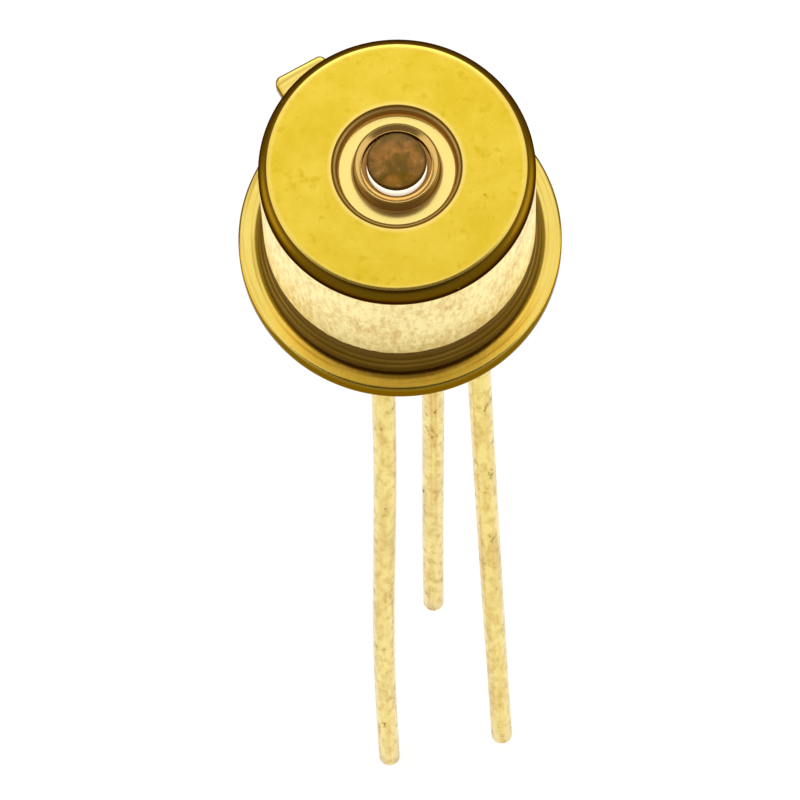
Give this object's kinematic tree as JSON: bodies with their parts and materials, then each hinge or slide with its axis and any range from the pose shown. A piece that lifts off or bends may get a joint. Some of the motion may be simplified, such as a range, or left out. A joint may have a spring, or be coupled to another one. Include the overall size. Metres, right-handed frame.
{
  "type": "infrared photodiode",
  "caption": "Gold-plated round metal can with a small glass lens in a raised collar on top, an index tab on its flange and long wire leads below, which turns infrared light into current.",
  "frame": {"origin": "centre of the header's underside, on the optical axis, at the seating plane", "axes": "+Z along the optical axis, out of the lens; the case lead stands on +X, the insulated leads on +Y and -Y, and the index tab points halfway between -X and +Y"},
  "size_m": [0.0055, 0.0055, 0.0296],
  "materials": {
    "gold_plate": "satin",
    "lead_gold": "satin",
    "gold_wire": "polished",
    "seal_glass": "gloss",
    "lens_glass": "polished",
    "alumina": "matte",
    "solder": "satin",
    "semiconductor": "gloss"
  },
  "bodies": {
    "root": {"header": "gold_plate", "front_lead_seal": "seal_glass", "back_lead_seal": "seal_glass", "front_lead": "lead_gold", "back_lead": "lead_gold", "case_lead": "lead_gold", "case_lead_braze": "lead_gold", "submount_solder": "solder", "submount": "alumina", "chip_solder": "solder", "chip": "semiconductor", "chip_wire": "gold_wire", "submount_wire": "gold_wire", "cap": "gold_plate", "lens_seal": "seal_glass", "lens": "lens_glass"}
  },
  "joints": []
}
